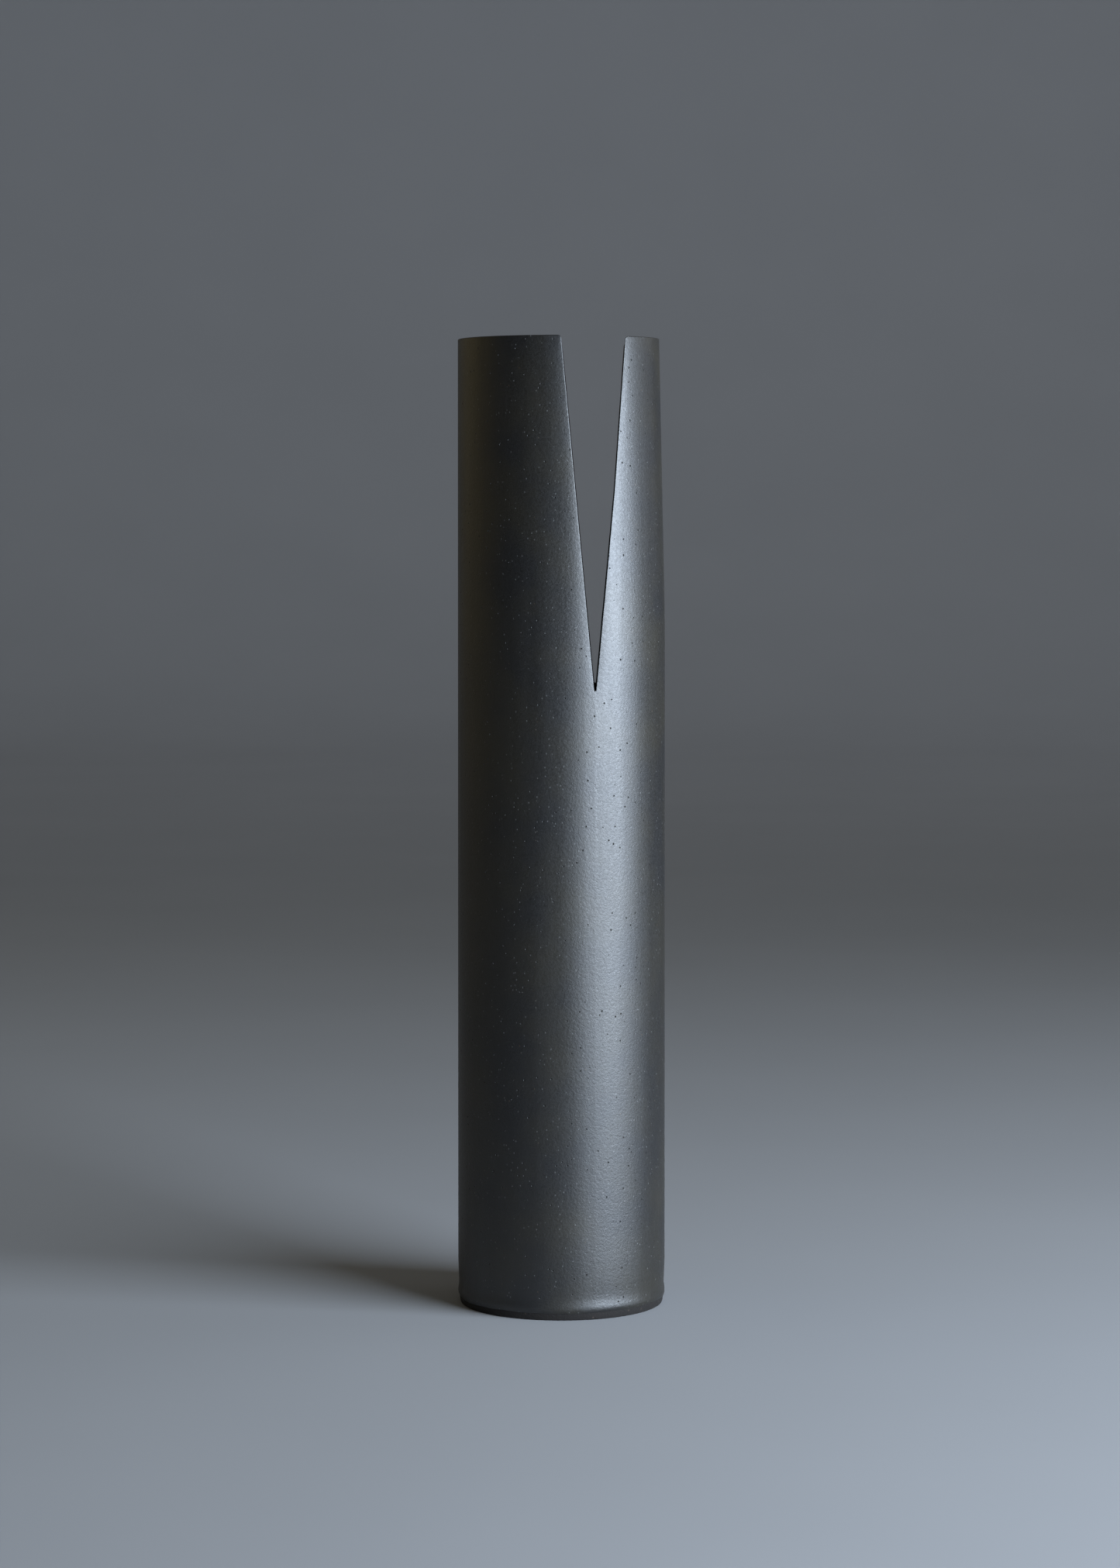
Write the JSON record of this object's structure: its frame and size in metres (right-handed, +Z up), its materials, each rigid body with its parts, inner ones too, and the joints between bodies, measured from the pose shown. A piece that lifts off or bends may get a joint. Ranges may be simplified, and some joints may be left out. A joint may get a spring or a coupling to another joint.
{
  "type": "notched cylinder vase",
  "caption": "Slim straight cylinder vase in dark stoneware with a satin black glaze and a long off-centre V notch cut down through its rim.",
  "frame": {"origin": "centre of the vase's foot, on the surface that it stands on", "axes": "+Z up along the vase's axis, +X from the axis towards the notch and the narrow prong, and the notch runs along Y"},
  "size_m": [0.0644, 0.0644, 0.3002],
  "materials": {
    "dark_stoneware": "matte",
    "fired_slip": "matte",
    "satin_black_glaze": "satin"
  },
  "bodies": {
    "root": {"clay_wall": "dark_stoneware", "floor_slab": "dark_stoneware", "luting_slip": "fired_slip", "corner_coil": "dark_stoneware", "outer_glaze": "satin_black_glaze", "liner_glaze": "satin_black_glaze"}
  },
  "joints": []
}
